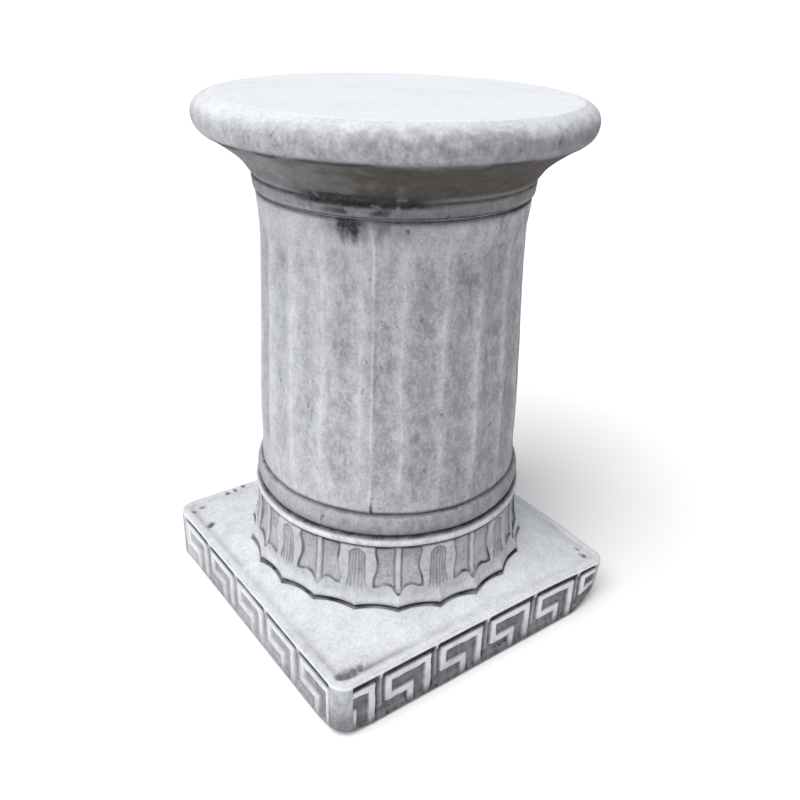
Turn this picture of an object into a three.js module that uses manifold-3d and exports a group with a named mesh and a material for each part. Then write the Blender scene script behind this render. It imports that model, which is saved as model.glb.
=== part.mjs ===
// A short garden column in the Doric manner, cast in one piece of reconstituted stone.
// A square plinth with a running key on its four sides carries a ring of leaves and darts,
// two round mouldings, a fluted shaft, a hollow neck and a thick round top with a rounded rim.
// Units are millimetres, +Z is up, and the origin is under the middle of the plinth.
import * as THREE from "three";
import { mergeVertices } from "three/addons/utils/BufferGeometryUtils.js";
import Module from "manifold-3d";

const wasm = await Module();
wasm.setup();

// Overall sizes
const COLUMN_HEIGHT = 455;
const PLINTH_SIDE = 300;
const PLINTH_HEIGHT = 53.5;
const TOP_RADIUS = 153;

// Plinth edges
const PLINTH_CORNER_RADIUS = 14;
const PLINTH_EDGE_ROUND = 3;
const RIM_WIDTH = 8;
const BED_STEP = 0.6;
const BED_RISE = 10;
const BED_SEGMENTS = 64;

// Running key, cut back from the plinth's sides so that its ribbon stays flush with them
const KEY_DEPTH = 3;
const KEY_PITCH = 55.5;
const KEY_RIBBON = 6;
const KEY_FIELD_MARGIN = 0.7;
const KEY_MIDDLE_SHARE = 0.42;
const KEY_END_MARGIN = 10.5;
const KEY_HEAD_GROOVE = 5;
const KEY_BACK_SHARE = 0.29;
const KEY_HOOK_SHARE = 0.69;
const KEY_PHASES = [-7.3, 23.6, -7.3, 23.6];

// Ring of leaves and darts
const LEAF_COUNT = 11;
const LEAF_TURN = 10.1;
const LEAF_TIP_RADIUS = 129;
const LEAF_SCALLOP = 4.2;
const LEAF_LIP_HEIGHT = 6;
const LEAF_LIP_UNDERCUT = 3;
const LEAF_SKIRT_HEIGHT = 55.3;
const LEAF_TOP_RADIUS = 118.5;
const LEAF_PANEL_DEPTH = 1.8;
const LEAF_POINT_RISE = 0.16;
const DART_GROOVE_DEPTH = 1.2;

// Round mouldings over the leaves
const BEAD_RADIUS = 120.2;
const BEAD_HEIGHT = 7;
const BAND_RADIUS = 118;
const BAND_HEIGHT = 16;
const MOULDING_GROOVE = 3;
const FOOT_GROOVE = 1.8;

// Shaft
const FLUTE_COUNT = 22;
const FLUTE_DEPTH = 2.4;
const FLUTE_RUN_OUT = 12;
const FLUTE_END_MARGIN = 7;
const FLUTE_TURN = -6.5;
const SHAFT_FOOT_RADIUS = 113.9;
const SHAFT_NECK_RADIUS = 107.4;
const SHAFT_FLARE_RADIUS = 110.9;
const SHAFT_FLARE_HEIGHT = 28;

// Neck ring, hollow neck and top
const NECK_RING_HEIGHT = 12.6;
const NECK_RING_RADIUS = 115.7;
const NECK_GROOVE = 1.6;
const HOLLOW_HEIGHT = 28;
const HOLLOW_TOP_RADIUS = 144;
const TOP_THICKNESS = 27;
const TOP_FLAT_INSET = 19;

const ROUND_SEGMENTS = 64;
const SINK = 6;

const plinthHalf = PLINTH_SIDE / 2;
const leafFoot = PLINTH_HEIGHT + BED_RISE;
const leafTop = leafFoot + LEAF_SKIRT_HEIGHT;
const beadFoot = leafTop + MOULDING_GROOVE / 2;
const bandFoot = beadFoot + BEAD_HEIGHT + MOULDING_GROOVE;
const shaftFoot = bandFoot + BAND_HEIGHT + FOOT_GROOVE;
const topFoot = COLUMN_HEIGHT - TOP_THICKNESS;
const hollowFoot = topFoot - HOLLOW_HEIGHT;
const neckRingFoot = hollowFoot - NECK_GROOVE - NECK_RING_HEIGHT;
const shaftTop = neckRingFoot - NECK_GROOVE;

// Solids: a three.js geometry becomes a manifold-3d solid, and the finished solid a geometry again.
function solidOf(geometry) {
  const bare = geometry.clone();
  bare.deleteAttribute("normal");
  bare.deleteAttribute("uv");
  const merged = mergeVertices(bare, 1e-4);
  return new wasm.Manifold(
    new wasm.Mesh({
      numProp: 3,
      vertProperties: new Float32Array(merged.attributes.position.array),
      triVerts: new Uint32Array(merged.index.array),
    }),
  );
}

function geometryOf(solid) {
  const mesh = solid.getMesh();
  const geometry = new THREE.BufferGeometry();
  geometry.setAttribute("position", new THREE.BufferAttribute(mesh.vertProperties, 3));
  geometry.setIndex(new THREE.BufferAttribute(mesh.triVerts, 1));
  geometry.computeVertexNormals();
  return geometry;
}

// A closed solid through a stack of level rings, each a list of [x, y, z] with as many points.
function solidThroughRings(rings) {
  const count = rings[0].length;
  const positions = rings.flat(2);
  const indices = [];
  rings.slice(1).forEach((_, row) => {
    for (let i = 0; i < count; i += 1) {
      const a = row * count + i;
      const b = row * count + ((i + 1) % count);
      indices.push(a, b, b + count, a, b + count, a + count);
    }
  });
  const bottom = positions.length / 3;
  const top = bottom + 1;
  positions.push(0, 0, rings[0][0][2], 0, 0, rings.at(-1)[0][2]);
  const lastRow = (rings.length - 1) * count;
  for (let i = 0; i < count; i += 1) {
    const next = (i + 1) % count;
    indices.push(bottom, next, i, top, lastRow + i, lastRow + next);
  }
  const geometry = new THREE.BufferGeometry();
  geometry.setAttribute("position", new THREE.Float32BufferAttribute(positions, 3));
  geometry.setIndex(indices);
  return solidOf(geometry);
}

// A turned solid from [radius, height] pairs, which run up the outside.
function turned(outline) {
  const points = [[0, outline[0][1]], ...outline, [0, outline.at(-1)[1]]];
  const profile = points.map(([radius, height]) => new THREE.Vector2(radius, height));
  const geometry = new THREE.LatheGeometry(profile, ROUND_SEGMENTS);
  geometry.rotateX(Math.PI / 2);
  return solidOf(geometry);
}

function roundedSquare(half, radius) {
  const shape = new THREE.Shape();
  const flat = half - radius;
  shape.absarc(flat, flat, radius, 0, Math.PI / 2);
  shape.absarc(-flat, flat, radius, Math.PI / 2, Math.PI);
  shape.absarc(-flat, -flat, radius, Math.PI, 1.5 * Math.PI);
  shape.absarc(flat, -flat, radius, 1.5 * Math.PI, 2 * Math.PI);
  return shape;
}

// The line of a straight ribbon with square bends, offset to both sides.
function ribbonShape(line, width) {
  const sides = [[], []];
  line.forEach((point, i) => {
    const before = line[Math.max(i - 1, 0)];
    const after = line[Math.min(i + 1, line.length - 1)];
    const along = [Math.sign(point[0] - before[0]), Math.sign(point[1] - before[1])];
    const onward = [Math.sign(after[0] - point[0]), Math.sign(after[1] - point[1])];
    const across = new THREE.Vector2(-along[1] - onward[1], along[0] + onward[0]).multiplyScalar(width / 2);
    sides[0].push(new THREE.Vector2(...point).add(across));
    sides[1].push(new THREE.Vector2(...point).sub(across));
  });
  return new THREE.Shape([...sides[1], ...sides[0].reverse()]);
}

// One key: out from the foot, back at mid height, up, along the head and down to the foot.
function keyLine(fieldHalf, footHeight, headHeight, phase) {
  const middleHeight = footHeight + KEY_MIDDLE_SHARE * (headHeight - footHeight);
  const reach = Math.ceil((fieldHalf + Math.abs(phase)) / KEY_PITCH) + 1;
  const line = [];
  for (let i = -reach; i <= reach; i += 1) {
    const riser = phase + i * KEY_PITCH;
    const back = riser - (1 - KEY_BACK_SHARE) * KEY_PITCH;
    const hook = riser - (1 - KEY_HOOK_SHARE) * KEY_PITCH;
    line.push([hook, footHeight], [hook, middleHeight], [back, middleHeight]);
    line.push([back, headHeight], [riser, headHeight], [riser, footHeight]);
  }
  return line;
}

// What is cut away from the plinth's side that faces -Y, around the ribbon.
function keyGround(phase) {
  const fieldHalf = plinthHalf - KEY_END_MARGIN;
  const fieldFoot = PLINTH_EDGE_ROUND + KEY_FIELD_MARGIN;
  const fieldHeight = PLINTH_HEIGHT - 2 * fieldFoot;
  const footHeight = fieldFoot + KEY_RIBBON / 2;
  const headHeight = fieldFoot + fieldHeight - KEY_HEAD_GROOVE - KEY_RIBBON / 2;
  const field = new THREE.BoxGeometry(2 * fieldHalf, 2 * KEY_DEPTH, fieldHeight);
  field.translate(0, -plinthHalf, fieldFoot + fieldHeight / 2);
  const ribbon = new THREE.ExtrudeGeometry(
    ribbonShape(keyLine(fieldHalf, footHeight, headHeight, phase), KEY_RIBBON),
    { depth: 4 * KEY_DEPTH, bevelEnabled: false },
  );
  ribbon.rotateX(Math.PI / 2);
  ribbon.translate(0, -plinthHalf + 2 * KEY_DEPTH, 0);
  return solidOf(field).subtract(solidOf(ribbon));
}

function plinthBlock() {
  const outline = roundedSquare(plinthHalf - PLINTH_EDGE_ROUND, PLINTH_CORNER_RADIUS - PLINTH_EDGE_ROUND);
  const block = new THREE.ExtrudeGeometry(outline, {
    depth: PLINTH_HEIGHT - 2 * PLINTH_EDGE_ROUND,
    bevelThickness: PLINTH_EDGE_ROUND,
    bevelSize: PLINTH_EDGE_ROUND,
    bevelSegments: 2,
    curveSegments: 4,
  });
  block.translate(0, 0, PLINTH_EDGE_ROUND);
  let solid = solidOf(block);
  KEY_PHASES.forEach((phase, side) => {
    solid = solid.subtract(keyGround(phase).rotate([0, 0, -90 * side]));
  });
  return solid;
}

// Half a leaf's angles, as shares of the turn from a leaf's middle to a dart's middle.
const RIB_EDGE = 0.1;
const PANEL_SIDE = 0.18;
const PANEL_EDGE = 0.51;
const LEAF_EDGE = 0.6;
const DART_GROOVE = 0.77;
const HALF_LEAF = [0, RIB_EDGE, PANEL_SIDE, PANEL_EDGE, LEAF_EDGE, DART_GROOVE];

// How deep the carving lies at a share of the half leaf, where the row is a carved one.
function leafCarving(share) {
  const inPanel = share >= PANEL_SIDE && share <= PANEL_EDGE;
  if (inPanel) return LEAF_PANEL_DEPTH;
  return share === DART_GROOVE ? DART_GROOVE_DEPTH : 0;
}

// Angles round the ring, each with its share of the half leaf: 0 in a leaf's middle, 1 in a dart's.
function leafAngles() {
  const halfTurn = Math.PI / LEAF_COUNT;
  const angles = [];
  for (let leaf = 0; leaf < LEAF_COUNT; leaf += 1) {
    const middle = 2 * leaf * halfTurn + THREE.MathUtils.degToRad(LEAF_TURN);
    HALF_LEAF.forEach((share) => angles.push({ angle: middle + share * halfTurn, share }));
    const back = [1, ...HALF_LEAF.slice(1).reverse()];
    back.forEach((share) => angles.push({ angle: middle + (2 - share) * halfTurn, share }));
  }
  return angles;
}

// The bed on the plinth, which rises from a square to the circle under the leaves.
function bed() {
  const bedHalf = plinthHalf - RIM_WIDTH;
  const bedTopRadius = LEAF_TIP_RADIUS - LEAF_SCALLOP - LEAF_LIP_UNDERCUT;
  const ring = (height, reachAt) =>
    Array.from({ length: BED_SEGMENTS }, (_, i) => {
      const angle = (i * 2 * Math.PI) / BED_SEGMENTS;
      const reach = reachAt(angle);
      return [reach * Math.cos(angle), reach * Math.sin(angle), height];
    });
  const toSquare = (angle) => bedHalf / Math.max(Math.abs(Math.cos(angle)), Math.abs(Math.sin(angle)));
  return solidThroughRings([
    ring(PLINTH_HEIGHT - SINK, toSquare),
    ring(PLINTH_HEIGHT + BED_STEP, toSquare),
    ring(leafFoot, () => bedTopRadius),
  ]);
}

// The ring of leaves, sunk into the bed.
function leafRing() {
  const angles = leafAngles();
  const lipTop = leafFoot + LEAF_LIP_HEIGHT;
  const circle = (height, radiusAt) =>
    angles.map(({ angle, share }) => {
      const radius = radiusAt(share);
      return [radius * Math.cos(angle), radius * Math.sin(angle), height];
    });
  const scallop = (share) => LEAF_TIP_RADIUS - LEAF_SCALLOP * Math.sin(Math.PI * share);
  const skirtRadius = (rise) => {
    const flare = (1 - rise) ** 3;
    return LEAF_TOP_RADIUS + (LEAF_TIP_RADIUS - LEAF_SCALLOP - LEAF_TOP_RADIUS) * (0.25 * (1 - rise) + 0.75 * flare);
  };
  const skirt = (rise, carved) =>
    circle(leafFoot + rise * LEAF_SKIRT_HEIGHT, (share) => skirtRadius(rise) - (carved ? leafCarving(share) : 0));
  const pointed = (rise, carved) =>
    angles.map(({ angle, share }) => {
      const risen = rise + LEAF_POINT_RISE * Math.min(share / PANEL_EDGE, 1);
      const radius = skirtRadius(risen) - (carved ? leafCarving(share) : 0);
      return [radius * Math.cos(angle), radius * Math.sin(angle), leafFoot + risen * LEAF_SKIRT_HEIGHT];
    });
  return solidThroughRings([
    circle(leafFoot - SINK, (share) => scallop(share) - LEAF_LIP_UNDERCUT),
    circle(leafFoot, (share) => scallop(share) - LEAF_LIP_UNDERCUT),
    circle(leafFoot + 1, scallop),
    circle(lipTop, (share) => scallop(share) - 1),
    pointed(0.22, false),
    pointed(0.25, true),
    skirt(0.94, true),
    skirt(1, false),
  ]);
}

// The bead and the band over the leaves.
function baseMouldings() {
  const grooveRadius = BAND_RADIUS - MOULDING_GROOVE;
  const beadTop = beadFoot + BEAD_HEIGHT;
  const bandTop = bandFoot + BAND_HEIGHT;
  return turned([
    [LEAF_TOP_RADIUS - MOULDING_GROOVE, leafTop - SINK],
    [LEAF_TOP_RADIUS - MOULDING_GROOVE, beadFoot - 0.4],
    [BEAD_RADIUS - 1.6, beadFoot],
    [BEAD_RADIUS, beadFoot + BEAD_HEIGHT / 2],
    [BEAD_RADIUS - 1.6, beadTop],
    [grooveRadius, beadTop + 0.7],
    [grooveRadius, bandFoot - 0.7],
    [BAND_RADIUS - 1.2, bandFoot],
    [BAND_RADIUS, bandFoot + BAND_HEIGHT / 2],
    [BAND_RADIUS - 1.2, bandTop],
  ]);
}

// The shaft's radius without flutes, with a slight taper and a flare under the neck ring.
function shaftRadius(height) {
  const flareFoot = shaftTop - SHAFT_FLARE_HEIGHT;
  if (height > flareFoot) {
    const share = (height - flareFoot) / SHAFT_FLARE_HEIGHT;
    return SHAFT_NECK_RADIUS + (SHAFT_FLARE_RADIUS - SHAFT_NECK_RADIUS) * share ** 2;
  }
  const share = (height - shaftFoot) / (flareFoot - shaftFoot);
  return SHAFT_FOOT_RADIUS + (SHAFT_NECK_RADIUS - SHAFT_FOOT_RADIUS) * share ** 1.15;
}

// The fluted shaft, sunk into the band below and the neck ring above.
function shaft() {
  const stepsAcrossFlute = [0, 0.72, 1, 0.72];
  const ring = (height, radius, depth) => {
    const points = [];
    for (let flute = 0; flute < FLUTE_COUNT; flute += 1) {
      stepsAcrossFlute.forEach((cut, step) => {
        const turn = ((flute + step / stepsAcrossFlute.length) * 2 * Math.PI) / FLUTE_COUNT;
        const angle = turn + THREE.MathUtils.degToRad(FLUTE_TURN);
        const reach = radius - cut * depth;
        points.push([reach * Math.cos(angle), reach * Math.sin(angle), height]);
      });
    }
    return points;
  };
  const fluteFoot = shaftFoot + FLUTE_END_MARGIN;
  const fluteTop = shaftTop - SHAFT_FLARE_HEIGHT;
  const level = (height, depth) => ring(height, shaftRadius(height), depth);
  const along = (share) => fluteFoot + FLUTE_RUN_OUT + share * (fluteTop - fluteFoot - 2 * FLUTE_RUN_OUT);
  return solidThroughRings([
    ring(shaftFoot - SINK, SHAFT_FOOT_RADIUS - FOOT_GROOVE, 0),
    ring(shaftFoot - 0.6, SHAFT_FOOT_RADIUS - FOOT_GROOVE, 0),
    level(shaftFoot, 0),
    level(fluteFoot, 0),
    level(along(0), FLUTE_DEPTH),
    level(along(0.5), FLUTE_DEPTH),
    level(along(1), FLUTE_DEPTH),
    level(fluteTop, 0),
    level(shaftTop - SHAFT_FLARE_HEIGHT / 2, 0),
    level(shaftTop, 0),
  ]);
}

// The neck ring, the hollow neck and the round top.
function capital() {
  const ringTop = neckRingFoot + NECK_RING_HEIGHT;
  const ringFootRadius = SHAFT_FLARE_RADIUS + 1;
  const hollow = (share) => [
    NECK_RING_RADIUS + (HOLLOW_TOP_RADIUS - NECK_RING_RADIUS) * share ** 1.5,
    hollowFoot + HOLLOW_HEIGHT * share,
  ];
  const rimMiddle = topFoot + TOP_THICKNESS / 2;
  const under = (turn) => [
    HOLLOW_TOP_RADIUS + 1.5 + (TOP_RADIUS - HOLLOW_TOP_RADIUS - 1.5) * Math.sin(turn),
    rimMiddle - (rimMiddle - topFoot) * Math.cos(turn),
  ];
  const over = (turn) => [
    TOP_RADIUS - TOP_FLAT_INSET * (1 - Math.cos(turn)),
    rimMiddle + (COLUMN_HEIGHT - rimMiddle) * Math.sin(turn),
  ];
  const quarter = Math.PI / 2;
  return turned([
    [SHAFT_FLARE_RADIUS - NECK_GROOVE, shaftTop - SINK],
    [SHAFT_FLARE_RADIUS - NECK_GROOVE, neckRingFoot - 0.4],
    [ringFootRadius, neckRingFoot],
    [(ringFootRadius + NECK_RING_RADIUS) / 2 + 0.8, neckRingFoot + NECK_RING_HEIGHT / 2],
    [NECK_RING_RADIUS, ringTop],
    [NECK_RING_RADIUS - NECK_GROOVE, ringTop + NECK_GROOVE / 2],
    ...[0, 0.2, 0.4, 0.6, 0.8, 1].map(hollow),
    ...[0, 0.22, 0.44, 0.66, 0.85].map((share) => under(share * quarter)),
    ...[0, 0.25, 0.5, 0.75, 1].map((share) => over(share * quarter)),
  ]);
}

const stone = new THREE.MeshStandardMaterial({ color: 0xb9bac0, roughness: 0.92, metalness: 0 });
const solid = plinthBlock().add(bed()).add(leafRing()).add(baseMouldings()).add(shaft()).add(capital());
const column = new THREE.Mesh(geometryOf(solid), stone);
column.name = "column";

const part = new THREE.Group();
part.add(column);

export default part;
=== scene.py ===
"""A short garden column in the Doric manner, cast in one piece, with its stone, floor, light and camera."""

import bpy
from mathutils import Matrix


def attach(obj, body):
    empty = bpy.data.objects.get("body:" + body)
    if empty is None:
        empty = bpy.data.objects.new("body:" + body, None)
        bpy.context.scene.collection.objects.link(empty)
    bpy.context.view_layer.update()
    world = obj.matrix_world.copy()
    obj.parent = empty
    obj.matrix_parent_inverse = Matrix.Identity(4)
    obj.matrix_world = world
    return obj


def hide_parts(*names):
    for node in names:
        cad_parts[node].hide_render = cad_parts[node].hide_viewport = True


bl_info = {
    "name": "Doric garden column",
    "version": (1, 0, 0),
    "blender": (4, 5, 0),
    "location": "3D View > Sidebar > Column",
    "description": "Models a short cast stone column with a leaf ring and a running key",
    "category": "Add Mesh",
}

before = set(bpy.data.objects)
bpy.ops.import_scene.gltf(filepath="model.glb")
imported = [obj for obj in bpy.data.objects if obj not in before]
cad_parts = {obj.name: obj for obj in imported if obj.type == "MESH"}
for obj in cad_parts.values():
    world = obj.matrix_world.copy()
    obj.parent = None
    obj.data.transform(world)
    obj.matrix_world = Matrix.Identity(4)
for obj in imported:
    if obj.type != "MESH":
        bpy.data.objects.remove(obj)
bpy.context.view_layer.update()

import math

import bmesh
import bpy
import numpy as np
from bpy.props import FloatProperty, FloatVectorProperty, PointerProperty
from bpy.types import Operator, Panel, PropertyGroup
from mathutils import Matrix, Vector

MM = 0.001
NODE = "column"

# Where the parts of the column meet, in millimetres above the ground
PLINTH_TOP = 53.5
BED_TOP = 63.5

LEAVES = 11
LEAF_TURN = 10.1
FLUTES = 22
FLUTE_TURN = math.radians(-6.5)
KEY_PHASES = {"front": -7.3, "left": 23.6, "back": -7.3, "right": 23.6}

# A fixed table of random numbers, from which all unevenness is read
TABLE_SIZE = 32
TABLE = np.random.default_rng(11).random((TABLE_SIZE,) * 3) * 2 - 1


class ColumnSizes(PropertyGroup):
    """The sizes of the carving."""

    flute_depth: FloatProperty(
        name="Flute depth", description="How deep the flutes lie in the shaft",
        default=2.6 * MM, min=0.5 * MM, max=5 * MM, unit="LENGTH")
    key_depth: FloatProperty(
        name="Key depth", description="How deep the ground lies behind the key's ribbon",
        default=2.8 * MM, min=0.5 * MM, max=5 * MM, unit="LENGTH")
    key_pitch: FloatProperty(
        name="Key pitch", description="Distance from one key to the next",
        default=55.5 * MM, min=40 * MM, max=75 * MM, unit="LENGTH")
    key_ribbon: FloatProperty(
        name="Key ribbon", description="Width of the key's ribbon",
        default=6.1 * MM, min=4 * MM, max=9 * MM, unit="LENGTH")
    leaf_depth: FloatProperty(
        name="Leaf depth", description="How deep the leaves' panels are sunk",
        default=2.0 * MM, min=0.5 * MM, max=4 * MM, unit="LENGTH")
    scallop: FloatProperty(
        name="Scallop", description="How far the leaf ring's foot swings in between its points",
        default=4.2 * MM, min=1 * MM, max=8 * MM, unit="LENGTH")
    unevenness: FloatProperty(
        name="Unevenness", description="How far the cast faces wander from true",
        default=0.8 * MM, min=0, max=2 * MM, unit="LENGTH")


class ColumnColours(PropertyGroup):
    """The colours of the stone, its dirt and the floor. The pale stone, dirt and earth stain colours also carry
    painted light and shade.
    """

    wash_and_light: FloatVectorProperty(
        name="Pale stone", description="The bleached stone on edges and level faces",
        subtype="COLOR", size=3, min=0, max=1, default=(0.72, 0.735, 0.775))
    stone: FloatVectorProperty(
        name="Stone", description="The bare cast stone",
        subtype="COLOR", size=3, min=0, max=1, default=(0.335, 0.343, 0.368))
    shade: FloatVectorProperty(
        name="Dark stone", description="The mottled stone in the hollows",
        subtype="COLOR", size=3, min=0, max=1, default=(0.192, 0.197, 0.210))
    grime_and_shade: FloatVectorProperty(
        name="Dirt", description="The dirt held in the carving",
        subtype="COLOR", size=3, min=0, max=1, default=(0.032, 0.031, 0.036))
    earth_stain_and_shade: FloatVectorProperty(
        name="Earth stain", description="The warm stain under the top",
        subtype="COLOR", size=3, min=0, max=1, default=(0.047, 0.038, 0.030))
    floor: FloatVectorProperty(
        name="Floor", description="The plain studio floor",
        subtype="COLOR", size=3, min=0, max=1, default=(0.92, 0.92, 0.92))


def sizes():
    return bpy.context.scene.column_sizes


def colours():
    return bpy.context.scene.column_colours


# Reading the table of random numbers

def drift(points, grain, shift=0.0):
    """Smooth unevenness from -1 to 1 at each point, in lumps of the size of grain."""
    place = points / np.asarray(grain, float) + shift * np.array([7.31, 3.17, 5.53])
    cell = np.floor(place).astype(int)
    part = place - cell
    part = part * part * (3 - 2 * part)
    total = np.zeros(len(points))
    for corner in np.ndindex(2, 2, 2):
        index = (cell + corner) % TABLE_SIZE
        weight = np.prod(np.where(corner, part, 1 - part), axis=1)
        total += weight * TABLE[index[:, 0], index[:, 1], index[:, 2]]
    return total


def rough(points, grain, shift=0.0, octaves=3):
    """Unevenness with finer and finer lumps."""
    grain = np.asarray(grain, float)
    return sum(drift(points, grain / 2**i, shift + i) * 0.5**i for i in range(octaves)) / 1.6


def ramp(value, low, high):
    """0 below low, 1 above high and smooth between."""
    share = np.clip((value - low) / (high - low), 0, 1)
    return share * share * (3 - 2 * share)


def bump(value, width):
    """1 where value is 0, falling off smoothly over width to both sides."""
    return np.exp(-(value / width) ** 2)


# Modelling

def clear_selection():
    if bpy.context.mode != "OBJECT":
        bpy.ops.object.mode_set(mode="OBJECT")
    bpy.ops.object.select_all(action="DESELECT")


def turned(name, profile, spokes, cuts):
    """A closed turned form. The profile runs from the axis at the bottom to the axis at the top, in millimetres.

    It is spun in a few broad steps, whose edges round the form are then cut and brought out to the circle."""
    clear_selection()
    bpy.ops.mesh.primitive_plane_add(size=MM, location=(0, 0, 0))
    obj = bpy.context.object
    obj.name = obj.data.name = name
    bpy.ops.object.mode_set(mode="EDIT")
    bpy.ops.mesh.select_mode(type="VERT")
    bpy.ops.mesh.select_all(action="SELECT")
    bpy.ops.mesh.merge(type="CENTER")
    here = profile[0]
    bpy.ops.transform.translate(value=(here[0] * MM, 0, here[1] * MM))
    for there in profile[1:]:
        step = ((there[0] - here[0]) * MM, 0, (there[1] - here[1]) * MM)
        bpy.ops.mesh.extrude_vertices_move(TRANSFORM_OT_translate={"value": step})
        here = there
    bpy.ops.mesh.select_all(action="SELECT")
    bpy.ops.mesh.spin(steps=spokes, angle=math.tau, center=(0, 0, 0), axis=(0, 0, 1))
    bpy.ops.mesh.select_all(action="SELECT")
    bpy.ops.mesh.remove_doubles(threshold=0.01 * MM)
    bpy.ops.mesh.select_mode(type="EDGE")
    bpy.ops.mesh.select_all(action="DESELECT")
    shape = bmesh.from_edit_mesh(obj.data)
    for edge in shape.edges:
        a, b = (vert.co for vert in edge.verts)
        level = abs(a.z - b.z) < 0.001 * MM and abs(a.xy.length - b.xy.length) < 0.001 * MM
        edge.select_set(level and a.xy.length > MM)
    bmesh.update_edit_mesh(obj.data)
    bpy.ops.mesh.subdivide(number_cuts=cuts)
    bpy.ops.mesh.select_all(action="SELECT")
    bpy.ops.mesh.normals_make_consistent(inside=False)
    bpy.ops.object.mode_set(mode="OBJECT")

    points = read_points(obj)
    radius, angle = polar(points)
    half_step = math.pi / spokes
    within = (angle % (2 * half_step)) - half_step
    result = points * (np.cos(within) / math.cos(half_step))[:, None]
    result[:, 2] = points[:, 2]
    write_points(obj, result)
    return obj


def read_points(obj):
    """The mesh's points in millimetres."""
    flat = np.empty(len(obj.data.vertices) * 3, dtype=np.float32)
    obj.data.vertices.foreach_get("co", flat)
    return flat.reshape(-1, 3).astype(float) / MM


def write_points(obj, points):
    obj.data.vertices.foreach_set("co", (points * MM).astype(np.float32).ravel())
    obj.data.update()


def carve(obj, carver):
    """Moves each point of the mesh as carver says and keeps the dirt and the wash that it leaves there, which also
    hold painted shade and painted light.
    """
    points, dirt_and_shade, wash_and_light = carver(read_points(obj))
    write_points(obj, points)
    for name, values in (("dirt_and_shade", dirt_and_shade), ("wash_and_light", wash_and_light)):
        layer = obj.data.attributes.new(name, "FLOAT", "POINT")
        layer.data.foreach_set("value", np.clip(values, 0, 1).astype(np.float32))


def finish_piece(obj, stone):
    obj.data.materials.append(stone)
    clear_selection()
    obj.select_set(True)
    bpy.context.view_layer.objects.active = obj
    bpy.ops.object.shade_smooth()
    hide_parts(NODE)
    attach(obj, "root")


def polar(points):
    return np.hypot(points[:, 0], points[:, 1]), np.arctan2(points[:, 1], points[:, 0])


def away_from(angle, degrees):
    """How far each angle lies from one in degrees, in degrees."""
    return (np.degrees(angle) - degrees + 180) % 360 - 180


def moved_out(points, amount):
    """The points moved away from the axis by amount, in millimetres."""
    radius, angle = polar(points)
    radius = np.maximum(radius + amount, 0)
    return np.column_stack([radius * np.cos(angle), radius * np.sin(angle), points[:, 2]])


def along(points, step):
    """The profile with points no further apart than step."""
    result = [points[0]]
    for a, b in zip(points, points[1:]):
        count = max(1, math.ceil(math.dist(a, b) / step))
        for i in range(1, count + 1):
            result.append((a[0] + (b[0] - a[0]) * i / count, a[1] + (b[1] - a[1]) * i / count))
    return result


def quarter(centre, radius, start, end, count):
    """Points on an arc, with angles in degrees from outwards, turning up."""
    turns = [math.radians(start + (end - start) * i / count) for i in range(count + 1)]
    return [(centre[0] + radius[0] * math.cos(t), centre[1] + radius[1] * math.sin(t)) for t in turns]


def smooth_curve(points, step):
    """A smooth curve through the points, sampled at about step."""
    result = []
    for i in range(len(points) - 1):
        before = points[max(i - 1, 0)]
        a, b = points[i], points[i + 1]
        after = points[min(i + 2, len(points) - 1)]
        count = max(1, round(math.dist(a, b) / step))
        for k in range(count):
            t = k / count
            result.append(tuple(
                0.5 * (2 * a[j] + (b[j] - before[j]) * t
                       + (2 * before[j] - 5 * a[j] + 4 * b[j] - after[j]) * t**2
                       + (3 * a[j] - before[j] - 3 * b[j] + after[j]) * t**3)
                for j in (0, 1)))
    return result + [points[-1]]


# The stone

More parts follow.
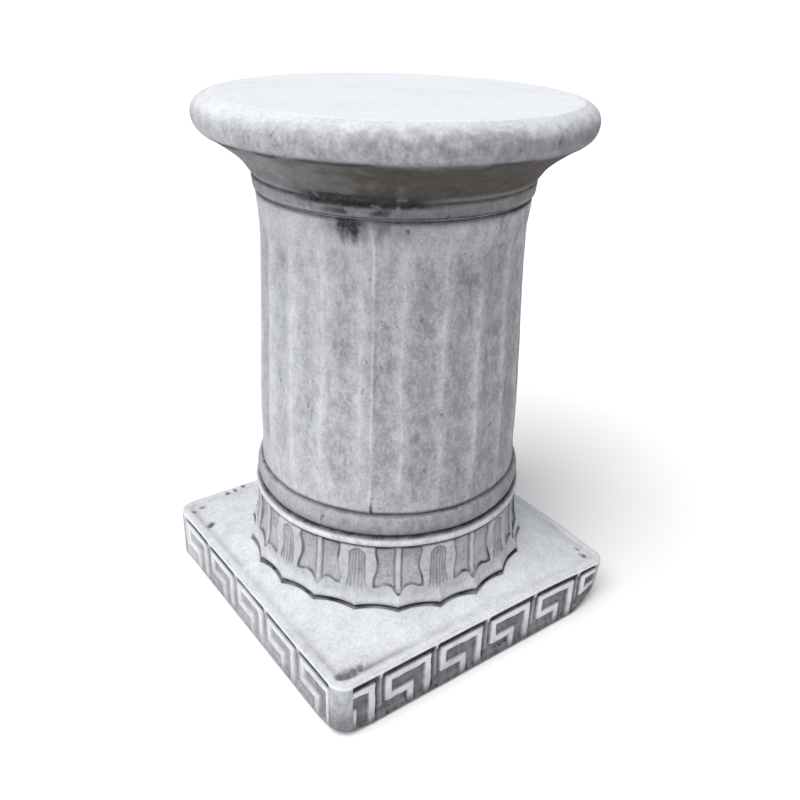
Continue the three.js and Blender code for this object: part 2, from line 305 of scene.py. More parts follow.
def stone_material():
    """Weathered cast stone, from the carving's dirt and wash, which also carry painted shade and painted light, and
    from patterns in the stone itself.
    """
    old = bpy.data.materials.get("weathered_stone")
    if old:
        return old
    paint = colours()
    material = bpy.data.materials.new("weathered_stone")
    material.use_nodes = True
    nodes, links = material.node_tree.nodes, material.node_tree.links
    nodes.clear()

    def node(kind, **inputs):
        made = nodes.new(kind)
        for key, value in inputs.items():
            made.inputs[key.replace("_", " ")].default_value = value
        return made

    place = nodes.new("ShaderNodeTexCoord").outputs["Object"]

    def pattern(scale, detail, roughness, stretch=(1, 1, 1), shift=(0, 0, 0)):
        mapping = nodes.new("ShaderNodeMapping")
        mapping.inputs["Scale"].default_value = stretch
        mapping.inputs["Location"].default_value = shift
        links.new(place, mapping.inputs["Vector"])
        noise = node("ShaderNodeTexNoise", Scale=scale, Detail=detail, Roughness=roughness)
        links.new(mapping.outputs["Vector"], noise.inputs["Vector"])
        return noise.outputs["Fac"]

    def between(value, low, high, to_low=0.0, to_high=1.0):
        made = nodes.new("ShaderNodeMapRange")
        made.interpolation_type = "SMOOTHSTEP"
        for key, number in zip(("From Min", "From Max", "To Min", "To Max"), (low, high, to_low, to_high)):
            made.inputs[key].default_value = number
        links.new(value, made.inputs["Value"])
        return made.outputs["Result"]

    def maths(operation, first, second, clamp=False):
        made = nodes.new("ShaderNodeMath")
        made.operation = operation
        made.use_clamp = clamp
        for socket, value in zip(made.inputs, (first, second)):
            if isinstance(value, (int, float)):
                socket.default_value = value
            else:
                links.new(value, socket)
        return made.outputs["Value"]

    def mix(amount, first, second):
        made = nodes.new("ShaderNodeMix")
        made.data_type = "RGBA"
        links.new(amount, made.inputs["Factor"])
        for socket, value in ((made.inputs[6], first), (made.inputs[7], second)):
            if isinstance(value, bpy.types.NodeSocket):
                links.new(value, socket)
            else:
                socket.default_value = (*value, 1)
        return made.outputs[2]

    def carried(name):
        made = nodes.new("ShaderNodeAttribute")
        made.attribute_name = name
        return made.outputs["Fac"]

    dirt_and_shade, wash_and_light = carried("dirt_and_shade"), carried("wash_and_light")
    clouds = pattern(16, 4, 0.6)
    blotches = pattern(70, 5, 0.65, shift=(3, 1, 2))
    streaks = pattern(200, 4, 0.7, stretch=(1, 1, 0.45), shift=(5, 2, 1))
    specks = pattern(420, 3, 0.7, shift=(1, 4, 2))
    crumbs = pattern(900, 2, 0.6)
    pores = pattern(190, 2, 0.5, stretch=(1, 1, 0.7), shift=(2, 7, 3))

    mottle = maths("ADD", maths("MULTIPLY", blotches, 0.45), maths("MULTIPLY", streaks, 0.55))
    bare = mix(between(mottle, 0.25, 0.7), paint.shade, paint.stone)
    pale = maths("ADD", wash_and_light, between(clouds, 0.3, 0.7, -0.07, 0.07))
    pale = maths("ADD", pale, between(mottle, 0.3, 0.68, -0.09, 0.09))
    pale = maths("ADD", pale, between(specks, 0.3, 0.7, -0.13, 0.13), clamp=True)
    colour = mix(pale, bare, paint.wash_and_light)
    warm = maths("MULTIPLY", carried("earth_stain_and_shade"), between(mottle, 0.3, 0.7, 0.88, 1.0))
    colour = mix(warm, colour, paint.earth_stain_and_shade)
    uneven = maths("ADD", maths("MULTIPLY", blotches, 0.5), maths("MULTIPLY", specks, 0.5))
    uneven = between(uneven, 0.3, 0.7, 0.72, 1.22)
    open_pores = maths("MULTIPLY", between(pores, 0.66, 0.76, 0.0, 0.42), between(wash_and_light, 0.3, 0.75, 1.0, 0.1))
    held_and_shaded = maths("ADD", maths("MULTIPLY", dirt_and_shade, uneven), open_pores, clamp=True)
    colour = mix(held_and_shaded, colour, paint.grime_and_shade)

    shader = nodes.new("ShaderNodeBsdfPrincipled")
    links.new(colour, shader.inputs["Base Color"])
    links.new(between(specks, 0.3, 0.7, 0.82, 0.97), shader.inputs["Roughness"])
    shader.inputs["Specular IOR Level"].default_value = 0.25
    height = maths("ADD", maths("MULTIPLY", specks, 0.6), maths("MULTIPLY", crumbs, 0.4))
    relief = node("ShaderNodeBump", Strength=0.35, Distance=0.6 * MM)
    links.new(height, relief.inputs["Height"])
    links.new(relief.outputs["Normal"], shader.inputs["Normal"])
    output = nodes.new("ShaderNodeOutputMaterial")
    links.new(shader.outputs["BSDF"], output.inputs["Surface"])
    return material


# The plinth

HALF = 150.0
CORNER = 14.0
SIDES = ("right", "back", "left", "front")
# The level rim round the plinth's top, and the radius from which the top is modelled on circles
RIM = 13.0
RING = 131.0
# Points less than this far in from the outline belong to the plinth's sides
SIDE_DEPTH = 7
FIELD_END = 10.5
FIELD_LOW, FIELD_HIGH = 3.7, 49.8
KEY_FOOT, KEY_MIDDLE, KEY_HEAD = 6.7, 21.5, 40.9
KEY_BACK, KEY_HOOK = 0.29, 0.69


def square_outline(share):
    """Places and outward directions at shares of the way round the plinth, with the distance along each side."""
    flat, arc = 2 * (HALF - CORNER), math.pi / 2 * CORNER
    length = (share % 1) * 4 * (flat + arc) + flat / 2
    side = np.floor(length / (flat + arc)).astype(int)
    left = length - side * (flat + arc)
    on_flat = left < flat
    turn = np.where(on_flat, 0, (left - flat) / CORNER)
    x = np.where(on_flat, HALF, HALF - CORNER + CORNER * np.cos(turn))
    y = np.where(on_flat, left - flat / 2, flat / 2 + CORNER * np.sin(turn))
    spin = side * math.pi / 2
    place = np.column_stack([x * np.cos(spin) - y * np.sin(spin), x * np.sin(spin) + y * np.cos(spin)])
    facing = spin + turn
    run = np.where(on_flat, left - flat / 2, HALF)
    return place, np.column_stack([np.cos(facing), np.sin(facing)]), run, side % 4


def key_relief(run, height, phase):
    """How far each point is from the key's ribbon, and from the field that it stands in, in millimetres."""
    pitch, half = sizes().key_pitch / MM, sizes().key_ribbon / MM / 2
    distance = np.full(len(run), 99.0)

    def bar(x0, x1, z0, z1):
        beside = np.maximum(np.maximum(x0 - here, here - x1), np.maximum(z0 - height, height - z1))
        np.minimum(distance, beside - half, out=distance)

    for lap in (0, 1):
        here = (run - phase) % pitch - lap * pitch
        back, hook = KEY_BACK * pitch, KEY_HOOK * pitch
        bar(hook, hook, KEY_FOOT, KEY_MIDDLE)
        bar(back, hook, KEY_MIDDLE, KEY_MIDDLE)
        bar(back, back, KEY_MIDDLE, KEY_HEAD)
        bar(back, pitch, KEY_HEAD, KEY_HEAD)
        bar(pitch, pitch, KEY_FOOT, KEY_HEAD)
        bar(0, 0, KEY_FOOT, KEY_HEAD)
    link = np.maximum(np.abs(height - KEY_FOOT) - half, -((run - phase) % pitch))
    link = np.maximum(link, (run - phase) % pitch - KEY_HOOK * pitch)
    between = np.abs((run - phase) % pitch - 0.16 * pitch)
    field = np.maximum(np.abs(run) - (HALF - FIELD_END), np.maximum(FIELD_LOW - height, height - FIELD_HIGH))
    return distance, link, field, between


PITS = (
    # place on the plinth's top, radius and depth
    (-139, -136, 5.6, 1.3), (-134, -137, 6.8, 1.6), (-128.5, -137.5, 6.4, 1.3), (-122, -138, 5, 0.6),
    (-137, 99.5, 4.6, 1.5), (-141, 130, 3.4, 0.8), (-132, 132, 3.8, 0.9), (-99, 141.5, 3.8, 1.0),
    (-90, 143, 3.4, 0.9), (-80, 145, 3.4, 1.0),
    (133, -135, 4.2, 1.3), (134, -126, 3.2, 0.9), (138, 128, 4.0, 1.1),
)


def scallop_radius(angle):
    """The foot of the leaf ring: a point at each leaf and each dart, and a hollow between."""
    share = ((angle - math.radians(LEAF_TURN)) * LEAVES / math.pi) % 1
    return 128.4 - sizes().scallop / MM * np.abs(np.sin(np.pi * share)) ** 0.8


def carve_plinth(points):
    span, angle = polar(points)
    height = points[:, 2]
    place, facing, run, side = square_outline(angle / math.tau)
    inset = np.maximum(HALF - span, 0)
    edge = place - facing * np.minimum(inset, RIM)[:, None]
    share = np.clip((inset - RIM) / (HALF - RIM - RING), 0, 1) ** 1.7
    bearing = np.arctan2(place[:, 1], place[:, 0])
    ring = np.column_stack([np.cos(bearing), np.sin(bearing)]) * np.minimum(span, RING)[:, None]
    flat = edge * (1 - share[:, None]) + ring * share[:, None]
    result = np.column_stack([flat, height])
    top = height > PLINTH_TOP - 0.6
    reach, bearing = polar(result)

    dirt_and_shade = np.zeros(len(points))
    wash_and_light = np.full(len(points), 0.55)
    on_side = (height > 0.5) & (height < 52.0) & (inset < SIDE_DEPTH)
    wobble = 0.35 * drift(result, 9, 2) + 0.2 * drift(result, 4, 3)
    depth = np.zeros(len(points))
    for number, name in enumerate(SIDES):
        chosen = on_side & (side == number)
        level_here = height[chosen]
        distance, link, field, between = key_relief(run[chosen], level_here, KEY_PHASES[name])
        distance = distance + wobble[chosen]
        inside = 1 - ramp(field, -1.2, 0.3)
        ground = ramp(distance, -0.7, 0.9) * inside
        # A low worn link joins the keys along the foot, and a thin ridge stands between them
        low_link = (1 - ramp(link + wobble[chosen], -0.8, 0.8)) * 0.55
        line = bump(between, 1.2) * ramp(level_here, 12, 18)
        bridge = bump(between, 2.4) * ramp(level_here, 43.5, 46.5)
        depth[chosen] = ground * (1 - 0.45 * line) * (1 - low_link) * (1 - 0.8 * bridge)
        crease = bump(distance - 1.0, 1.1) * inside
        head = bump(level_here - 46.9, 3.6) * inside * (1 - bridge)
        # Darker towards the key's foot, less so on the left side, which faces the lamp, as painted light
        foot = (1 - ramp(level_here, 3, 15)) * (0.4 if name == "left" else 1.0)
        streaks = rough(result[chosen], (3, 3, 16), 14)
        # Painted light: the key's ground is painted less dark on the left side, which faces the lamp, but for its
        # two ends
        lit_side_clearing = 1.0
        if name == "left":
            lit_side_clearing = 0.36 + 0.5 * (1 - ramp(run[chosen], -125, -95)) + 0.35 * ramp(run[chosen], 60, 130)
        grains = rough(result[chosen], 4, 19)
        slot = bump((run[chosen] - KEY_PHASES[name]) % (sizes().key_pitch / MM) - 4.8, 1.7)
        held_and_shaded = lit_side_clearing * (0.50 + 0.26 * crease + 0.14 * foot + 0.2 * streaks + 0.3 * grains + 0.4 * slot) + 1.25 * head
        held_and_shaded = held_and_shaded * ground
        dirt_and_shade[chosen] = held_and_shaded * (1 - 0.7 * line) * (1 - 0.3 * low_link) * (1 - 0.75 * bridge)
        patches = rough(result[chosen], (9, 9, 7), 15)
        lower = ramp(level_here, 6, 38)
        pale = 0.5 + 0.42 * lower + 0.24 * patches
        wash_and_light[chosen] = pale * (1 - ground) + 0.3 * ground * (line + bridge) - 0.25 * foot
        # Painted light: the key's ground on the left side, which faces the lamp, is painted paler
        if name == "left":
            wash_and_light[chosen] += 0.34 * ground * (1 - 0.5 * ramp(run[chosen], 90, 135))
    faded = ramp(np.hypot(result[:, 0] + HALF, result[:, 1] - HALF), 12, 58)
    worn = (1 + 0.2 * drift(result, 30, 5)) * (0.35 + 0.65 * faded)
    dirt_and_shade = dirt_and_shade * (0.3 + 0.7 * faded)
    wash_and_light = np.where(on_side, wash_and_light + 0.35 * (1 - faded), wash_and_light)
    result[:, :2] -= facing * (depth * worn * sizes().key_depth / MM * (inset < SIDE_DEPTH))[:, None]

    dirt_and_shade *= 0.9 + 0.35 * rough(result, 22, 6)
    corner = ~(np.abs(run) < HALF - 8) & (height < PLINTH_TOP - 3)
    runs = rough(result, (3, 3, 16), 14)
    corner_foot = 1 - ramp(height, 4, 34)
    wash_and_light = np.where(corner, 0.36 + 0.4 * runs - 0.4 * corner_foot, wash_and_light)
    # The sides darken towards the bottom. Painted light keeps the left side, which faces the lamp, paler there
    low = (1 - ramp(height, 2, 15)) * (0.72 + 0.45 * runs) * (inset < 8)
    low = low * np.where(side == SIDES.index("left"), 0.4, 1.0)
    dirt_and_shade = np.maximum(dirt_and_shade, np.maximum(low, corner * (0.05 + 0.34 * corner_foot) * (0.8 + 1.2 * runs)))

    # The bed rises from the square rim to the leaves
    outer = (HALF - 10) / np.maximum(np.abs(np.cos(bearing)), np.abs(np.sin(bearing)))
    outer = np.minimum(outer, HALF + 38)
    climb = np.clip((outer - reach) / (outer - 124), 0, 1)
    result[:, 2] += (BED_TOP - PLINTH_TOP) * (climb * 0.75 + 0.25 * climb * (2 - climb)) * top * (inset > 9)
    lip = bump(inset - 9.8, 2.4) * top
    result[:, 2] -= 0.8 * lip
    wash_and_light = np.where(top, 0.72 - 0.1 * lip + 0.16 * rough(result, 30, 16), wash_and_light)
    gap = reach - scallop_radius(bearing)
    # The seat under the leaves' lip is sunk and darkened: dirt in the joint and painted shadow under the lip
    seat = (1 - ramp(gap, 0.2, 1.8)) * (reach > 100) * top
    result[:, 2] -= 0.8 * seat
    dirt_and_shade = np.maximum(dirt_and_shade, (0.8 + 0.25 * drift(result, 12, 18)) * seat)
    # A groove runs inside the rim with patchy dirt, and painted shade along it on the front side near the left
    # corner
    lip_groove_shade = bump(np.hypot(result[:, 0] + 118, result[:, 1] + HALF), 34)
    dirt_and_shade = np.maximum(dirt_and_shade, lip * (0.16 * ramp(rough(result, 26, 8), -0.1, 0.5) + 0.5 * lip_groove_shade))
    for x, y, radius, hollow in PITS:
        from_pit = np.hypot(result[:, 0] - x, result[:, 1] - y) + 0.7 * drift(result, 6, 9)
        pit = (1 - ramp(from_pit, 0.35 * radius, radius)) * top
        result[:, 2] -= hollow * pit
        dirt_and_shade = np.maximum(dirt_and_shade, 0.82 * pit)

    # The near corner is worn a little underneath. The right-hand one is worn more, and its top droops
    from_near = np.hypot(result[:, 0] + HALF, result[:, 1] + HALF)
    from_right = np.hypot(result[:, 0] - HALF, result[:, 1] + HALF)
    rise = np.clip(height / PLINTH_TOP, 0, 1)
    result[:, 2] += 5 * (1 - ramp(from_near, 4, 34)) * (1 - rise) ** 1.3
    result[:, 2] += 15 * (1 - ramp(from_right, 4, 44)) * (1 - rise) ** 1.3
    result[:, 2] -= 3.8 * (1 - ramp(from_right, 4, 75)) * rise
    result[:, :2] -= facing * (4 * (1 - ramp(from_right, 4, 40)) * (1 - rise) * (inset < 8))[:, None]
    uneven = sizes().unevenness / MM * (height > 2) * ramp(np.abs(inset - SIDE_DEPTH), -1, 6)
    result[:, 2] += 0.45 * uneven * rough(result, 34, 4) * top
    result[:, :2] += facing * (0.5 * uneven * rough(result, 40, 12) * (inset < SIDE_DEPTH))[:, None]
    return result, dirt_and_shade, wash_and_light


def plinth_profile():
    bottom = [(0, 0), (70, 0), (125, 0)]
    foot = quarter((HALF - 5, 5), (5, 5), -90, 0, 4)
    wall = along([(HALF, 5), (HALF, PLINTH_TOP - 3.6)], 1.08)[1:-1]
    arris = quarter((HALF - 4, PLINTH_TOP - 4), (4, 4), 0, 90, 5)
    top = along([(HALF - 4, PLINTH_TOP), (HALF - RIM, PLINTH_TOP)], 1.3)[1:]
    bed = along([(HALF - RIM, PLINTH_TOP), (RING, PLINTH_TOP)], 0.5)[1:]
    bed += along([(RING, PLINTH_TOP), (121, PLINTH_TOP)], 0.8)[1:]
    return bottom + foot + wall + arris + top + bed + [(60, PLINTH_TOP), (0, PLINTH_TOP)]


class COLUMN_OT_plinth(Operator):
    """Model the square plinth with the running key on its sides"""

    bl_idname = "column.plinth"
    bl_label = "Plinth"

    def execute(self, context):
        obj = turned("plinth", plinth_profile(), 112, 9)
        carve(obj, carve_plinth)
        finish_piece(obj, stone_material())
        return {"FINISHED"}


# The ring of leaves and darts

def leaf_profile():
    """The ring's section at a leaf's point, from inside the plinth to inside the bead."""
    under = [(0, 52), (60, 52), (112, 52), (121.5, 58), (124.6, 62.5), (126.4, 64.6)]
    lip = [(127.8, 65.6), (128.4, 66.8), (128.3, 68.1), (127.8, 69.3), (127.1, 70.5)]
    skirt = smooth_curve(
        [(127.1, 70.5), (125.9, 73.2), (124.3, 77), (122.9, 81.5),
         (121.6, 87), (120.4, 94), (119.5, 104), (118.9, 116.5)], 0.74)[1:]
    top = [(118.5, 117.6), (117.8, 118.7), (116.4, 119.6), (114.8, 120.2), (112, 121.5), (60, 121.5), (0, 121.5)]
    return under + lip + skirt + top


def carve_leaves(points):
    radius, angle = polar(points)
    height = points[:, 2]
    pitch = 360 / LEAVES
    turn = math.degrees(1) * angle - LEAF_TURN + 0.25 * drift(points, 7, 1)
    from_leaf = np.abs((turn + pitch / 2) % pitch - pitch / 2)
    from_dart = pitch / 2 - from_leaf
    outside = radius > 113
    face = outside & (height > 69) & (height < 119.5)

    cut = (128.4 - scallop_radius(angle)) * (1 - ramp(height, 70, 84)) * outside

    # The two sunk panels of a leaf, waisted at the middle, with a point at the foot of the rib
    side = 8.2 + 1.4 * (1 - ramp(height, 86, 102)) + 0.9 * ramp(height, 105, 116)
    low = 83.5 + 2.0 * bump(from_leaf - 5.0, 2.2) - 6.6 * (1 - ramp(from_leaf, 0.4, 3.0))
    low = low + 1.2 * drift(points, 9, 6)
    inside = np.minimum(np.minimum((side - from_leaf) * 2.1, height - low), 118.6 - height)
    panel = ramp(inside, -0.5, 1.2) * face
    rib = (1 - ramp(from_leaf, 0.8, 1.4)) * ramp(height, 76, 82)
    rib_line = bump(from_leaf - 1.35, 0.42) * ramp(height, 77, 84) * (inside > 0)
    sunk = panel * (1 - 0.8 * rib)
    outline = bump(inside + 0.1, 0.85) * face * (1 - rib)

    # The dart between two leaves: a veined tongue under an arch that two raised borders carry
    spread = 3.1 + 1.5 * (1 - ramp(height, 74, 92))
    under_arch = 117.0 - 0.41 * from_dart**2 - height
    tongue = np.minimum((spread - from_dart) * 2.1, under_arch)
    within = ramp(tongue, -0.5, 0.9) * ramp(height, 72, 84) * face
    edge_line = bump(tongue, 0.7) * ramp(height, 76, 86) * face
    veins = bump(from_dart - 0.75, 0.34) + 0.8 * bump(from_dart - 1.9 - 0.5 * (1 - ramp(height, 78, 98)), 0.36)
    veins = veins * within
    border = ramp(tongue, 0, -1.6) * (1 - panel) * face * ramp(height, 74, 84)

    depth = sizes().leaf_depth / MM
    out = -cut - depth * sunk - 0.35 * depth * within - 0.3 * veins - 0.3 * rib_line
    out += 0.35 * border - 0.3 * edge_line
    out += 0.5 * sizes().unevenness / MM * rough(points, 15, 3) * outside * ramp(height, 64, 72)
    result = moved_out(points, out)

    patchy = np.clip(0.85 + 0.6 * rough(points, 12, 7), 0.2, 1.4)
    streak = rough(points, (2.2, 2.2, 18), 9)
    dirt_and_shade = (outline + 0.6 * rib_line + 0.5 * veins + 0.6 * edge_line) * patchy
    dirt_and_shade += (0.03 + 0.15 * ramp(height, 98, 118)) * sunk * patchy
    dirt_and_shade += 0.2 * ramp(streak, -0.2, 0.6) * (0.5 + 0.5 * within) * face
    dirt_and_shade = np.maximum(dirt_and_shade, 0.9 * bump(height - 120.3, 1.1) * outside)
    # Painted shadow of the gap under the lip, with dirt in the joint: a dark line at the lip's foot and a soft grey
    # band above it
    dirt_and_shade = np.maximum(dirt_and_shade, (1 - ramp(height, 65.4, 67.4)) * outside)
    dirt_and_shade = np.maximum(dirt_and_shade, 0.34 * (1 - ramp(height, 66, 71)) * patchy * outside)
    wash_and_light = 0.24 - 0.08 * sunk - 0.07 * within + 0.07 * border + 0.16 * rib * panel + 0.14 * streak
    # Painted light: the ring is painted paler towards bearing 175 degrees, the side that faces the lamp
    wash_and_light = wash_and_light + 0.24 * (1 - ramp(height, 78, 84)) * (1 - panel) + 0.2 * bump(away_from(angle, 175), 62)
    return result, dirt_and_shade * outside, wash_and_light


class COLUMN_OT_leaf_ring(Operator):
    """Model the ring of leaves and darts that spreads over the plinth"""

    bl_idname = "column.leaf_ring"
    bl_label = "Leaf ring"

    def execute(self, context):
        obj = turned("leaf_ring", leaf_profile(), 132, 7)
        carve(obj, carve_leaves)
        finish_piece(obj, stone_material())
        return {"FINISHED"}


# The bead and the band

def moulding_profile():
    bead = quarter((117.2, 124.8), (3.3, 3.7), -88, 88, 12)
    gap = [(115.6, 129.0), (114.9, 129.6), (115.2, 130.4), (116.3, 131.2)]
    band = quarter((114.5, 139.2), (3.7, 8.2), -70, 70, 14)
    foot = [(0, 115), (60, 115), (112.5, 115), (114.2, 119.8), (115.6, 120.8)]
    return foot + bead + gap + band + [(114.6, 147.8), (112.6, 148.6), (111.8, 149.4), (60, 149.6), (0, 149.6)]


def carve_mouldings(points):
    radius, angle = polar(points)
    height = points[:, 2]
    outside = radius > 110
    out = 0.45 * sizes().unevenness / MM * rough(points, 20, 5) * outside
    mottled = 0.8 + 0.5 * rough(points, (18, 18, 9), 8)
    dirt_and_shade = np.maximum(bump(height - 129.3, 1.6), 0.8 * bump(height - 120.3, 1.0)) * (0.9 + 0.2 * mottled)
    dirt_and_shade = np.maximum(dirt_and_shade, 0.95 * bump(height - 148.8, 1.5) * mottled)
    dirt_and_shade = np.maximum(dirt_and_shade, 0.16 * mottled * ramp(height, 131, 134) * (1 - ramp(height, 134, 141)))
    streak = rough(points, (4, 4, 12), 9)
    wash_and_light = np.where(height < 129, 0.46, -0.1) + 0.2 * ramp(streak, -0.4, 0.5)
    # Painted light: the bead and band are painted paler towards bearing 175 degrees, the side that faces the lamp
    wash_and_light = wash_and_light + 0.3 * bump(away_from(angle, 175), 62)
    dirt_and_shade = np.maximum(dirt_and_shade, 0.22 * ramp(streak, -0.5, 0.3) * ramp(height, 129, 132))
    return moved_out(points, out), dirt_and_shade * outside, wash_and_light


class COLUMN_OT_mouldings(Operator):
    """Model the bead and the band between the leaves and the shaft"""

    bl_idname = "column.mouldings"
    bl_label = "Bead and band"

    def execute(self, context):
        obj = turned("base_mouldings", moulding_profile(), 90, 5)
        carve(obj, carve_mouldings)
        finish_piece(obj, stone_material())
        return {"FINISHED"}


# The fluted shaft

SHAFT_LINE = [
    (113.4, 149.2), (113.5, 152), (113.3, 165.5), (112.8, 205.7), (111.2, 244.7), (109.7, 280), (108.2, 315.6),
    (107.4, 345), (107.3, 357), (107.6, 365), (108.1, 373.8), (108.7, 381), (108.9, 383.4),
]
SEAM = math.radians(-133)


def shaft_profile():
    line = smooth_curve(SHAFT_LINE, 2.1)
    foot = [(0, 143), (60, 143), (110.5, 143), (111.9, 148.4)]
    return foot + line + [(108.4, 384.4), (107.2, 385.2), (60, 385.2), (0, 385.2)]


def carve_shaft(points):
    radius, angle = polar(points)
    height = points[:, 2]
    outside = radius > 104
    across = ((angle - FLUTE_TURN) * FLUTES / math.tau + 0.04 * drift(points, (40, 40, 60), 1)) % 1
    hollow = np.abs(np.sin(np.pi * across)) ** 0.9
    uneven_end = 5 * drift(points, (18, 18, 400), 2)
    run = ramp(height + uneven_end, 156, 182) * (1 - ramp(height + uneven_end, 342, 374))
    strength = run * (1 + 0.25 * drift(points, (30, 30, 70), 3))
    seam = bump((angle - SEAM) * radius, 0.9) * (0.4 + 0.6 * ramp(drift(points, (60, 60, 14), 4), -0.2, 0.4))
    out = -sizes().flute_depth / MM * hollow * strength + 0.35 * seam
    out += sizes().unevenness / MM * (0.55 * rough(points, 38, 5) + 0.3 * rough(points, 9, 6))
    result = moved_out(points, np.where(outside, out, 0))

    streak = rough(points, (3.5, 3.5, 24), 7)
    ridge = (1 - hollow) ** 1.1
    # The ridges are paler and the hollows darker: the stone's wiped finish, strengthened as painted shading of the
    # flutes. The side towards bearing 175 degrees, which faces the lamp, is painted paler as painted light
    lit = bump(away_from(angle, 175), 62)
    wash_and_light = 0.08 - 0.12 * hollow * run + 0.19 * ridge * run + 0.36 * lit
    wash_and_light += 0.06 * streak + 0.06 * rough(points, 12, 8)
    wash_and_light += 0.10 * (1 - run) * ramp(height, 300, 360) * (1 - ramp(height, 376, 384))
    # A dark band lies under the neck ring, wider at the front and towards the right. Dirt lies at the shaft's foot,
    # runs down at the front and follows the seam
    front = bump(away_from(angle, -136), 17)
    foot = bump(height - 148.7, 1.3) * (0.85 + 0.3 * drift(points, 14, 8))
    right = bump(away_from(angle, -100), 38)
    neck = bump(height - 384.4, 1.5 + front + 2.0 * right) * (0.9 + 0.3 * drift(points, 20, 13))
    drip = bump(away_from(angle, -142), 7.5) * ramp(height + 9 * rough(points, (5, 5, 30), 9), 366, 378)
    drip *= 1 + 0.5 * rough(points, 5, 9)
    stain = front * ramp(height, 358, 382) * ramp(rough(points, (6, 6, 11), 10), -0.4, 0.3)
    dirt_and_shade = np.maximum(np.maximum(foot, neck), np.maximum(drip, 0.75 * stain))
    dabs = ramp(rough(points, (4.5, 4.5, 8), 11), 0.08, 0.42) * ramp(drift(points, (26, 26, 60), 14), -0.5, 0.4)
    dirt_and_shade = np.maximum(dirt_and_shade, 0.27 * dabs * (0.2 + 0.8 * hollow) * run)
    beside = bump((angle - SEAM) * radius - 2.2, 0.9) * ramp(drift(points, (60, 60, 12), 12), -0.3, 0.5)
    notch = bump((angle - SEAM) * radius - 1, 1.3) * (1 - ramp(height, 152, 163))
    dirt_and_shade = np.maximum(dirt_and_shade, np.maximum(0.42 * beside, 1.1 * notch))
    return result, dirt_and_shade * outside, wash_and_light + 0.35 * seam


class COLUMN_OT_shaft(Operator):
    """Model the shaft with its shallow flutes"""

    bl_idname = "column.shaft"
    bl_label = "Fluted shaft"

    def execute(self, context):
        obj = turned("fluted_shaft", shaft_profile(), 88, 7)
        carve(obj, carve_shaft)
        finish_piece(obj, stone_material())
        return {"FINISHED"}


# The neck and the top

def capital_profile():
    ring = smooth_curve([(109.2, 385.6), (110.2, 386.6), (110.9, 389.5), (111.3, 392.8), (111.6, 395.2)], 1.0)
    gap = [(111.0, 396.2), (110.6, 397.0), (111.2, 398.0)]
    neck = smooth_curve(
        [(112.0, 399.0), (114.6, 402.6), (118.0, 407.4), (122.6, 412.1),
         (128.0, 416.5), (134.1, 420.8), (139.4, 424.4), (143.0, 426.6)], 1.2)
    crease = [(144.1, 427.4), (145.0, 427.7)]
    under = smooth_curve([(146.2, 428.3), (149.4, 431.0), (151.6, 434.6), (152.7, 438.4), (152.9, 441)], 1.0)
    over = quarter((152.9 - 17, 441), (17, 14), 0, 90, 20)[1:]
    top = along([(135.9, 455), (30, 455)], 4.5)[1:]
    start = [(0, 380), (60, 380), (105, 380), (107.6, 383.6), (108.0, 384.8)]
    return start + ring + gap + neck + crease + under + over + top + [(12, 455), (0, 455)]


def carve_capital(points):
    radius, angle = polar(points)
    height = points[:, 2]
    outside = (radius > 107.9) & (height > 385.3)
    level = height > 454.5
    broad = 0.8 * rough(points, 42, 2) * ramp(height, 422, 436)
    out = sizes().unevenness / MM * (broad + 0.35 * rough(points, 14, 3))
    result = moved_out(points, np.where(outside & ~level, np.minimum(out, 153 - radius), 0))
    result[:, 2] -= 0.3 * (1 + rough(points, 30, 4)) * ramp(height, 446, 455)

    # Dirt lies in the groove over the ring, with a dark stain at the front. A dark band lies under the ring, wider
    # towards the right
    patchy = rough(points, 13, 5)
    front = bump(away_from(angle, -137), 21)
    under_ring = 0.95 * bump(height - 385.6, 1.3 + 1.8 * bump(away_from(angle, -104), 38))
    dirt_and_shade = np.maximum(bump(height - 397.0, 1.3) * (0.7 + 0.3 * patchy + 0.4 * front), under_ring)
    broken = ramp(rough(points, (26, 26, 26), 8, 2), -0.05, 0.3)
    dirt_and_shade = np.maximum(dirt_and_shade, bump(height - 427.6, 2.1) * (0.25 + 0.75 * broken))
    band = ramp(height, 392, 395) * (1 - ramp(height, 400, 404))
    worn = rough(points, (7, 7, 6), 6)
    stained = front * ramp(height, 386.5, 389) * (1 - ramp(height, 398, 407)) * ramp(worn, -0.25, 0.35)
    dirt_and_shade = np.maximum(dirt_and_shade, np.maximum(2.2 * front * band * ramp(worn, -0.7, -0.15), stained))
    # The rim of the top is mottled along its middle. It is clean at the left and painted paler there, as painted
    # light where it faces the lamp, and it is darkened low down at the right as painted shade
    streak = ramp(rough(points, (6, 6, 5), 7), -0.35, 0.35)
    mottle = streak * ramp(height, 431, 441) * (1 - ramp(height, 449, 454))
    left = bump(away_from(angle, -178), 34)
    strength = 0.12 + 0.26 * bump(away_from(angle, -132), 44) + 0.06 * patchy
    dirt_and_shade = np.maximum(dirt_and_shade, strength * (1 - left) * mottle)
    # Painted shade on the rim's lower half at the right, away from the lamp
    shaded = bump(away_from(angle, -50), 42) * (1 - ramp(height, 436, 448)) * (height > 427)
    dirt_and_shade = np.maximum(dirt_and_shade, 0.56 * shaded * (0.5 + 0.5 * streak))
    on_rim = 0.12 + 0.58 * ramp(height, 441, 454) + 0.08 * patchy + 0.2 * left - 0.44 * shaded
    wash_and_light = np.where(height > 427, on_rim, 0.2 + 0.12 * patchy)
    wash_and_light = np.where(level, 1.0 + 0.05 * patchy, wash_and_light)
    return result, dirt_and_shade * outside, wash_and_light


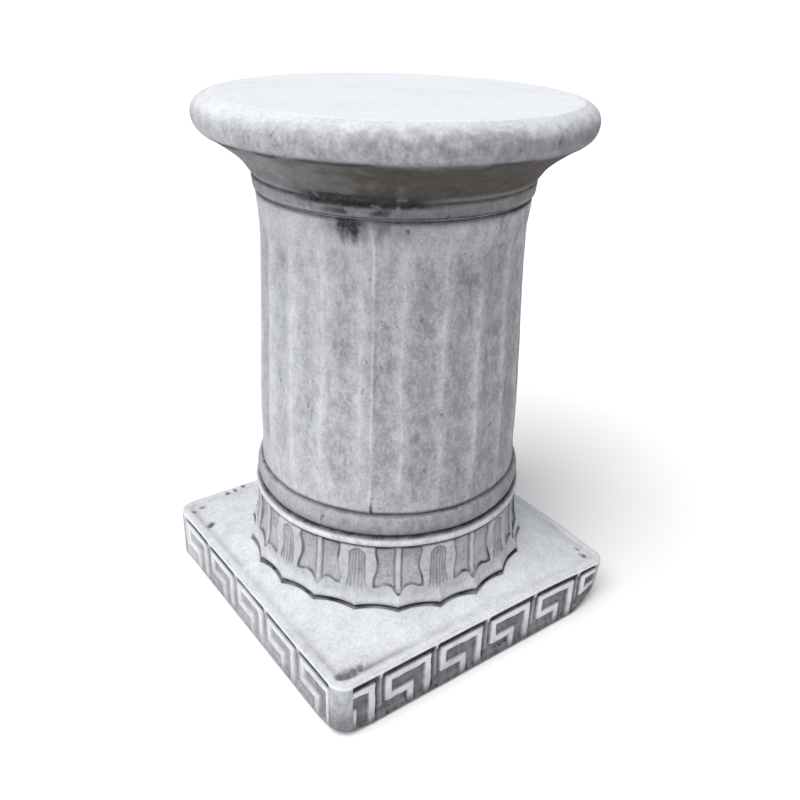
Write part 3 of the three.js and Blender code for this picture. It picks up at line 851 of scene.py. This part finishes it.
class COLUMN_OT_capital(Operator):
    """Model the neck ring, the hollow neck and the thick round top"""

    bl_idname = "column.capital"
    bl_label = "Neck and top"

    def execute(self, context):
        obj = turned("neck_and_top", capital_profile(), 80, 7)
        carve(obj, carve_capital)
        # The hollow neck carries a warm stain, partly painted shade under the top, thinned as painted light on the
        # side that the light reaches
        points = read_points(obj)
        height = points[:, 2]
        lit = bump(away_from(polar(points)[1], 178), 42)
        stain = (0.5 * ramp(height, 386, 390) + 0.5 * ramp(height, 397, 403)) * (1 - ramp(height, 424, 433))
        stain *= (1 - 0.5 * lit) * (1.08 + 0.2 * rough(points, (9, 9, 7), 17))
        layer = obj.data.attributes.new("earth_stain_and_shade", "FLOAT", "POINT")
        layer.data.foreach_set("value", np.clip(stain, 0, 1).astype(np.float32))
        finish_piece(obj, stone_material())
        return {"FINISHED"}


# The studio

CAMERA_PLACE = (-0.39049, -0.53499, 0.53169)
CAMERA_TURN = (
    (0.80709431, 0.24769265, -0.53595441),
    (-0.5897577, 0.38127516, -0.71190948),
    (0.02801135, 0.89066133, 0.45380366),
)
CAMERA_LENS = 37.35


class COLUMN_OT_stage(Operator):
    """Set up the floor, the light and the camera"""

    bl_idname = "column.stage"
    bl_label = "Studio"

    def execute(self, context):
        clear_selection()
        bpy.ops.mesh.primitive_plane_add(size=800, location=(0, 0, 0))
        floor = context.object
        floor.name = floor.data.name = "floor"
        pale = bpy.data.materials.new("pale_floor")
        pale.use_nodes = True
        shader = pale.node_tree.nodes["Principled BSDF"]
        shader.inputs["Base Color"].default_value = (*colours().floor, 1)
        shader.inputs["Roughness"].default_value = 0.9
        floor.data.materials.append(pale)

        world = bpy.data.worlds.new("studio")
        world.use_nodes = True
        world.node_tree.nodes["Background"].inputs["Color"].default_value = (0.96, 0.98, 1.0, 1)
        world.node_tree.nodes["Background"].inputs["Strength"].default_value = 0.5
        context.scene.world = world
        context.scene.view_settings.view_transform = "Standard"

        light = bpy.data.lights.new("sun", "SUN")
        light.energy = 2.75
        light.angle = math.radians(40)
        light.color = (1.0, 0.99, 0.98)
        sun = bpy.data.objects.new("sun", light)
        sun.location = (-1.2, -0.4, 2.2)
        sun.rotation_euler = Vector((1.2, 0.4, -2.2)).to_track_quat("-Z", "Y").to_euler()
        context.scene.collection.objects.link(sun)

        lens = bpy.data.cameras.new("camera")
        lens.sensor_width = 36
        lens.lens = CAMERA_LENS
        camera = bpy.data.objects.new("camera", lens)
        camera.matrix_world = Matrix.Translation(CAMERA_PLACE) @ Matrix(CAMERA_TURN).to_4x4()
        context.scene.collection.objects.link(camera)
        context.scene.camera = camera
        return {"FINISHED"}


class COLUMN_PT_panel(Panel):
    """The column's sizes, colours and pieces"""

    bl_idname = "COLUMN_PT_panel"
    bl_label = "Doric garden column"
    bl_space_type = "VIEW_3D"
    bl_region_type = "UI"
    bl_category = "Column"

    def draw(self, context):
        for group in (context.scene.column_sizes, context.scene.column_colours):
            box = self.layout.box()
            for name in group.__annotations__:
                box.prop(group, name)
        for operator in OPERATORS:
            self.layout.operator(operator.bl_idname)


OPERATORS = (
    COLUMN_OT_plinth, COLUMN_OT_leaf_ring, COLUMN_OT_mouldings, COLUMN_OT_shaft, COLUMN_OT_capital, COLUMN_OT_stage,
)
CLASSES = (ColumnSizes, ColumnColours, *OPERATORS, COLUMN_PT_panel)


def register():
    for made in CLASSES:
        bpy.utils.register_class(made)
    bpy.types.Scene.column_sizes = PointerProperty(type=ColumnSizes)
    bpy.types.Scene.column_colours = PointerProperty(type=ColumnColours)


def unregister():
    del bpy.types.Scene.column_colours
    del bpy.types.Scene.column_sizes
    for made in reversed(CLASSES):
        bpy.utils.unregister_class(made)


def main():
    register()
    bpy.ops.column.plinth()
    bpy.ops.column.leaf_ring()
    bpy.ops.column.mouldings()
    bpy.ops.column.shaft()
    bpy.ops.column.capital()
    bpy.ops.column.stage()


if __name__ == "__main__":
    main()
